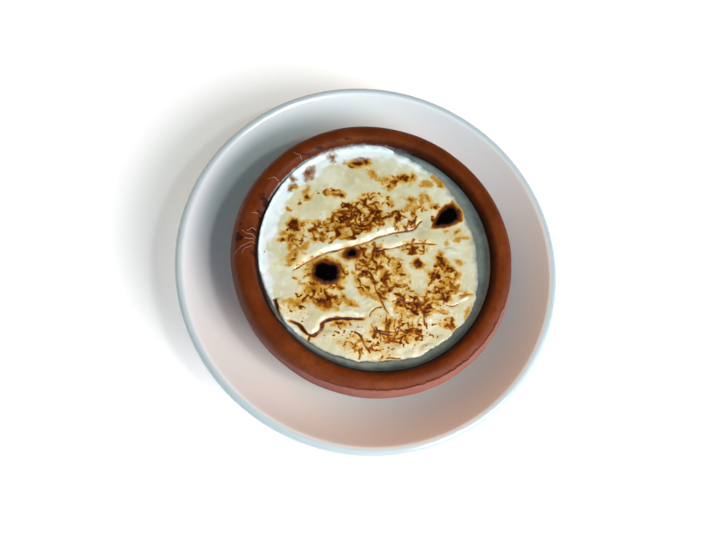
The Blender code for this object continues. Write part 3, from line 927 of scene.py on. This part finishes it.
def within(x, y, place, length, width, direction, taper=0.0):
    """1 in the middle of an oval, 0 on its edge and less outside."""
    turn = math.radians(direction)
    dx, dy = x - place[0], y - place[1]
    along = (dx * math.cos(turn) + dy * math.sin(turn)) / (length / 2)
    across = (dy * math.cos(turn) - dx * math.sin(turn)) / (width / 2)
    across = across / np.clip(1 - taper * along, 0.35, 2)
    return 1 - np.hypot(along, across)


def along_path(x, y, path):
    """(distance from the path, share of it gone, True to its left) for each place."""
    nearest = np.full(x.shape, np.inf)
    share = np.zeros(x.shape)
    left = np.zeros(x.shape, bool)
    for i in range(len(path) - 1):
        start, run = np.array(path[i]), np.array(path[i + 1]) - np.array(path[i])
        dx, dy = x - start[0], y - start[1]
        t = np.clip((dx * run[0] + dy * run[1]) / (run @ run), 0, 1)
        gap = np.hypot(dx - run[0] * t, dy - run[1] * t)
        closer = gap < nearest
        nearest = np.where(closer, gap, nearest)
        share = np.where(closer, (i + t) / (len(path) - 1), share)
        left = np.where(closer, run[0] * dy - run[1] * dx > 0, left)
    return nearest, share, left


def fold_relief(x, y):
    """The height that the folds add to the skin, and the dark of their lines: browned skin, with painted
    shade under the overlapping and lifted edges.
    """
    height = np.zeros(x.shape)
    brown = np.zeros(x.shape)
    wander = 0.30 * ripples(x, y, 4.2, 51), 0.30 * ripples(x, y, 4.2, 52)
    for number, (points, lift, ridge, groove, tone, line) in enumerate(FOLDS):
        path = curve_through(points, 6)
        gap, share, left = along_path(x + wander[0], y + wander[1], path)
        fade = ease(share * 5) * ease((1 - share) * 5)
        up = ease(gap / ridge) * (1 - ease((gap - ridge) / (4.5 * ridge)))
        low = 1 - ease(gap / (2.2 * ridge))
        step = np.where(left, lift * up, -0.25 * lift * low)
        height += fade * (step - groove * np.exp(-((gap / 0.36) ** 2)))
        patchy = 0.95 + 0.5 * ripples(x, y, 4.6, 60 + number)
        width = line * (0.9 + 0.5 * ripples(x, y, 2.8, 160 + number))
        ends = ease(share * 9) * ease((1 - share) * 9)
        drawn = tone * patchy * ends * np.exp(-((gap / width) ** 2))
        stain = 0.20 * patchy * ends * np.exp(-((gap / (2.6 * line)) ** 2)) * ~left
        brown = np.maximum.reduce([brown, drawn, stain])
    return height, brown


def burn_marks(x, y):
    """How burnt the skin is, and the brown halo round each burn."""
    burnt = np.zeros(x.shape)
    halo = np.zeros(x.shape)
    ragged = 0.55 * layered_ripples(x, y, 3.6, 70, 2)
    for place, length, width, direction, taper, glow in BURNS:
        depth = within(x, y, place, length, width, direction, taper) * min(length, width) / 2 + ragged
        burnt = np.maximum(burnt, ease((depth + 0.5) / 2.3))
        close = 0.70 * ease((depth + 1.5) / 1.9)
        wide = 0.30 * ease((depth + glow) / glow) * ease(0.85 + 1.1 * ripples(x, y, 3.0, 77))
        halo = np.maximum.reduce([halo, close, wide])
    return burnt, halo


def brown_spots(x, y, u, v):
    """The spots, each lumpy, with a paler fringe."""
    lumpy = 0.75 * layered_ripples(x, y, 2.8, 87, 2) + 0.20 * layered_ripples(x, y, 1.4, 88, 2)
    mottled = 0.92 + 0.45 * layered_ripples(x, y, 2.4, 89, 2)
    spots = np.zeros(x.shape)
    for place, length, width, direction, tone in SPOTS:
        depth = within(u * 0.6 + x * 0.4, v * 0.6 + y * 0.4, place, length, width, direction)
        depth = depth * min(length, width) / 2 + lumpy
        core = tone * mottled * ease((depth + 0.4) / 1.9)
        fringe = 0.26 * ease((depth + 1.9) / 2.4)
        spots = np.maximum.reduce([spots, core, fringe * (tone > 0.4)])
    return spots


def zone_shares(x, y):
    """The golden and the brown share of the mottled zones at each place."""
    golden_share = np.zeros(x.shape)
    brown_share = np.zeros(x.shape)
    for place, length, width, direction, golden, brown in ZONES:
        zone = ease(within(x, y, place, length, width, direction) * 2.0)
        golden_share = np.maximum(golden_share, golden * zone)
        brown_share = np.maximum(brown_share, brown * zone)
    return golden_share, brown_share


def brown_strokes(x, y, bend, golden_share, brown_share):
    """Thin wandering strokes of three sizes, each with a faint stain beside it."""
    strokes = np.zeros(x.shape)
    for seed, size, width in ((140, 9.0, 0.14), (150, 6.4, 0.15), (160, 4.6, 0.17)):
        line = np.abs(ripples(x + 1.3 * bend[1], y - 1.3 * bend[0], size, seed))
        gathered = layered_ripples(x, y, 4.2, seed + 4, 2) + 1.3 * (golden_share - 0.50)
        tone = 0.26 + 0.24 * golden_share + 0.62 * brown_share + 0.55 * ripples(x, y, 4.2, seed + 6)
        drawn = np.clip(tone, 0, 1) * np.exp(-((line / width) ** 2))
        stain = 0.22 * np.exp(-((line / (2.6 * width)) ** 2))
        here = ease(gathered / 0.6)
        strokes = np.maximum(strokes, np.maximum(drawn, stain) * here * ease(golden_share * 4 - 0.4))
    return strokes


def brown_specks(x, y, u, v):
    """Fine specks, as dense as SPECKLED says."""
    density = np.zeros(x.shape)
    for place, length, width, direction, share in SPECKLED:
        density = np.maximum(density, share * ease(within(x, y, place, length, width, direction) * 2.5))
    specks = ripples(u * 0.8, v * 1.3, 2.0, 101) + 0.45 * ripples(x, y, 1.0, 102)
    speck = ease((specks - (0.90 - 0.66 * density)) / 0.3) * (density > 0.01)
    return speck * (0.56 + 0.4 * ripples(x, y, 6, 103))


def brown_marks(x, y):
    """How brown the skin is away from folds and burns, and how near it lies to what caught."""
    bend = 1.2 * layered_ripples(x, y, 4.0, 80), 1.2 * layered_ripples(x, y, 4.0, 84)
    u, v = x + bend[0], y + bend[1]
    spots = brown_spots(x, y, u, v)
    golden_share, brown_share = zone_shares(x, y)
    over = layered_ripples(u, v, 5.0, 90, 3) + 1.2 * (golden_share - 0.52)
    golden = ease((over + 0.45) / 1.6) * (0.06 + 0.21 * golden_share) * ease(golden_share * 5)
    strokes = brown_strokes(x, y, bend, golden_share, brown_share)
    darker = layered_ripples(u, v, 3.2, 93, 2) + 0.15 * layered_ripples(x, y, 1.6, 98, 2)
    deep = ease((darker + 1.35 * (brown_share - 0.46)) / 0.7) * ease(over / 0.5 + 0.6)
    deep = deep * (brown_share > 0.01) * (0.72 + 0.45 * ripples(x, y, 3.6, 99))
    specks = brown_specks(x, y, u, v)
    return np.maximum.reduce([spots, golden, strokes, deep, specks]), golden_share


def skin_surface(x, y):
    """Height above the film at each place, and the marks there by name."""
    radius, angle = around(x, y)
    from_wall = THROAT_RADIUS - radius
    film_width = between(angle, FILM_WIDTH)
    scallops = 0.45 * layered_ripples(x, y, 4.2, 110) + 0.12 * ripples(x, y, 1.4, 113)
    scallops = scallops * ease(film_width / 1.5)
    inside_edge = from_wall - film_width - scallops
    thin_width = between(angle, THIN_WIDTH) * (1 + 0.4 * layered_ripples(x, y, 6, 116))
    edge = ease((inside_edge + 0.5) / (0.6 + 0.4 * thin_width))
    edge = edge * ease((from_wall - between(angle, WALL_GAP)) / 0.6)
    thin_and_wall_shade = ease(1 - inside_edge / thin_width)
    # Where no film shows, this mark is painted shade along the wall instead.
    streaky = np.clip(0.35 + 0.5 * layered_ripples(x, y, 3.0, 117, 2), 0, 0.7)
    shaded = ease(1.2 - from_wall / 1.8) * streaky
    thin_and_wall_shade = np.where(film_width < 0, shaded * ease(-film_width), thin_and_wall_shade)
    wet_width = between(angle, WET_WIDTH) * (1 + 0.45 * layered_ripples(x, y, 7, 114))
    pool = ease(within(x, y, (-18.5, -47.4), 15, 4, -20) * 2)
    wet_and_sheen = np.maximum(ease((wet_width - from_wall) / 2.6), pool) * edge
    folds, fold_brown_and_shade = fold_relief(x, y)
    swell = 0.34 * ripples(x, y, 12, 120) + 0.16 * layered_ripples(x, y, 5.5, 121, 2)
    crinkled = ease(within(x, y, (22, -28), 66, 42, 40) * 2) + 0.12
    sharp = 1 - np.abs(layered_ripples(x, y, 4.2, 124, 2))
    crinkles = crinkled * (0.26 * sharp + 0.05 * ripples(x, y, 1.5, 127))
    burnt, halo = burn_marks(x, y)
    crust = burnt * (0.22 + 0.16 * layered_ripples(x, y, 1.5, 130))
    dome = 0.3 * (1 - (radius / THROAT_RADIUS) ** 2)
    meniscus = 1.0 * ease((2.5 - from_wall) / 2.5) * ease(between(angle, WET_WIDTH) / 4)
    bubbles = sum(tall * ease(within(x, y, place, length, width, direction) * 1.4)
                  for place, length, width, direction, tall in BUBBLES)
    height = edge * (0.85 + dome + folds + swell + crinkles + crust + meniscus + bubbles)
    height = height - 0.9 * (1 - edge)
    height -= 0.35 * thin_and_wall_shade * edge * (film_width > 0)
    marks, caught = brown_marks(x, y)
    brown = np.maximum.reduce([marks, fold_brown_and_shade, halo])
    brown = brown * (1 - 0.25 * wet_and_sheen) * (1 - 0.7 * thin_and_wall_shade) * edge
    # Painted shade along the foot of the skin's cut edge, where it steps down to the film.
    skin_edge_shade = np.exp(-(((inside_edge - 0.35) / 0.30) ** 2)) * ease(film_width)
    skin_edge_shade = skin_edge_shade * (0.7 + 0.6 * ripples(x, y, 4, 118))
    return height, {
        "browned_and_fold_shade": np.clip(brown, 0, 1),
        "burnt": burnt,
        "wet_and_sheen": wet_and_sheen,
        "thin_and_wall_shade": thin_and_wall_shade,
        "skin_edge_shade": np.clip(skin_edge_shade, 0, 0.9),
        "warm": caught * (1 - wet_and_sheen),
    }


def make_skin():
    """A fine grid cut to the bowl's throat, closed below, whose top is moved to the skin's surface."""
    clean_start()
    reach = THROAT_RADIUS * (1 + BOWL_OVAL) + SKIN_OVERLAP + 0.5
    bpy.ops.mesh.primitive_grid_add(
        x_subdivisions=SKIN_CELLS,
        y_subdivisions=SKIN_CELLS,
        size=2 * reach * MM,
        location=(BOWL_CENTRE.x * MM, BOWL_CENTRE.y * MM, FILM_LEVEL * MM),
    )
    skin = bpy.context.object
    skin.name = skin.data.name = "baked_skin"
    bpy.ops.object.transform_apply(location=True, rotation=False, scale=False)
    corners = corners_of(skin)
    radius, _ = around(corners[:, 0], corners[:, 1])
    bpy.ops.object.mode_set(mode="EDIT")
    bpy.ops.mesh.select_mode(type="VERT")
    bpy.ops.mesh.select_all(action="DESELECT")
    bpy.ops.object.mode_set(mode="OBJECT")
    skin.data.vertices.foreach_set("select", radius > THROAT_RADIUS + SKIN_OVERLAP)
    bpy.ops.object.mode_set(mode="EDIT")
    bpy.ops.mesh.delete(type="VERT")
    bpy.ops.mesh.select_all(action="SELECT")
    bpy.ops.mesh.region_to_loop()
    bpy.ops.mesh.extrude_region_move(TRANSFORM_OT_translate={"value": (0, 0, -SKIN_SKIRT * MM)})
    bpy.ops.mesh.edge_face_add()
    bpy.ops.object.mode_set(mode="OBJECT")
    corners = corners_of(skin)
    height, marks = skin_surface(corners[:, 0], corners[:, 1])
    top = corners[:, 2] > FILM_LEVEL - 1
    corners[:, 2] += np.where(top, height, 0)
    move_corners(skin, corners)
    for name, values in marks.items():
        mark(skin, name, values * top)
    black = marks["burnt"] * top
    bpy.ops.object.shade_smooth()
    skin.data.materials.append(baked_skin())
    skin.data.materials.append(charred_crust())
    for face in skin.data.polygons:
        if face.loop_total == 4 and min(black[i] for i in face.vertices) > 0.7:
            face.material_index = 1
    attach(skin, "root")
    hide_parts("pudding")


make_camera()
make_light()
make_floor()
make_saucer()
make_bowl()
make_threads()
make_film()
make_skin()
